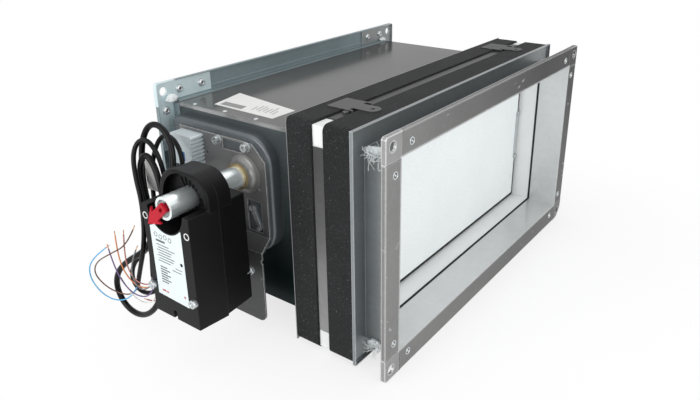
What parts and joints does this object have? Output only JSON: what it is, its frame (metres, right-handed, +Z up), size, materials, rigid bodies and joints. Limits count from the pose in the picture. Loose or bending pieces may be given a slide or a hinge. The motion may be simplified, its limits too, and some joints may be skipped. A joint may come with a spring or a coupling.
{
  "type": "rectangular fire damper",
  "caption": "Rectangular fire damper: flanged duct casing with wall collar, pivoted insulating blade, link-driven shaft and spring return actuator with coiled cables.",
  "frame": {"origin": "centre of the duct opening in the front flange's face, which is also the centre of that flange's four bolt holes", "axes": "+X along the duct's width, with the actuator on the -X side; +Y along the air path, from the front flange into the casing; +Z up. The blade is closed, which is joint value 0."},
  "size_m": [0.682, 0.4164, 0.31],
  "materials": {
    "galvanised": "galvanised sheet, satin",
    "board": "matt calcium silicate board",
    "foam": "rough black intumescent foam",
    "zinc": "zinc plated, satin",
    "brass": "turned",
    "black_plastic": "moulded, fine grain",
    "red_plastic": "glossy",
    "trip_metal": "satin silver",
    "cable_black": "satin sheath",
    "core_light_blue": "insulated wire",
    "core_brown": "insulated wire",
    "core_violet": "insulated wire",
    "core_orange": "insulated wire",
    "core_pink": "insulated wire",
    "core_white": "insulated wire",
    "core_grey": "insulated wire",
    "core_red": "insulated wire"
  },
  "bodies": {
    "casing": {"front_casing": "galvanised", "casing_channel": "galvanised", "casing_top_sheet": "galvanised", "front_flange_bars": "galvanised", "rear_flange_bars": "galvanised", "front_corner_pieces": "galvanised", "rear_corner_pieces": "galvanised", "corner_rivets": "zinc", "boards_top_bottom": "board", "boards_left_right": "board", "front_seal_strip": "foam", "rear_seal_strip": "foam", "channel_strips": "galvanised", "collar_rear_frame": "galvanised", "fixing_lugs": "galvanised", "pivot_bushes": "brass", "blade_stop": "galvanised", "inner_bush": "brass", "mechanism_housing": "galvanised", "mechanism_plate": "galvanised", "bearing_boss": "galvanised", "brass_bush": "brass", "plate_washers": "zinc", "plate_screws": "zinc", "catch_pin": "zinc", "actuator_front_shell": "black_plastic", "actuator_rear_shell": "black_plastic", "actuator_screws": "zinc", "actuator_nuts": "zinc", "cable_glands": "black_plastic", "trip_unit": "trip_metal", "trip_probe": "trip_metal", "hook_tab": "galvanised", "pan_screws": "zinc", "signal_cable": "cable_black", "supply_cable": "cable_black", "core_blue": "core_light_blue", "core_brown": "core_brown", "core_violet": "core_violet", "core_orange": "core_orange", "core_pink": "core_pink", "core_white": "core_white", "core_grey": "core_grey", "core_red": "core_red"},
    "blade": {"blade_board": "board", "blade_seal": "foam", "pivot_pins": "zinc", "pivot_straps": "zinc", "strap_rivets": "zinc", "blade_bracket": "zinc", "blade_pin": "zinc", "bracket_screws": "zinc"},
    "shaft": {"drive_shaft": "zinc", "shaft_sleeve": "zinc", "pointer_arrow": "red_plastic", "crank": "zinc", "crank_pin": "zinc"},
    "link": {"link_bar": "zinc"},
    "catch": {"catch_lever": "zinc"}
  },
  "joints": [
    {"name": "blade_turn", "type": "hinge", "parent": "casing", "child": "blade", "pos_m": [0, 0.095, 0], "axis": [1, 0, 0], "range_deg": [0, 90], "stiffness_Nm_per_rad": 1.5},
    {"name": "shaft_turn", "type": "hinge", "parent": "casing", "child": "shaft", "pos_m": [-0.3, 0.222, 0.06], "axis": [1, 0, 0], "range_deg": [0, 90]},
    {"name": "link_turn", "type": "hinge", "parent": "shaft", "child": "link", "pos_m": [-0.2395, 0.246, 0.105], "axis": [1, 0, 0], "range_deg": [-90, 0]},
    {"name": "catch_turn", "type": "hinge", "parent": "casing", "child": "catch", "pos_m": [-0.269, 0.214, 0.013], "axis": [1, 0, 0], "range_deg": [0, 12]}
  ],
  "couplings": [
    {"joint": "shaft_turn", "follows": "blade_turn", "ratio": 1},
    {"joint": "link_turn", "follows": "blade_turn", "ratio": -1}
  ]
}
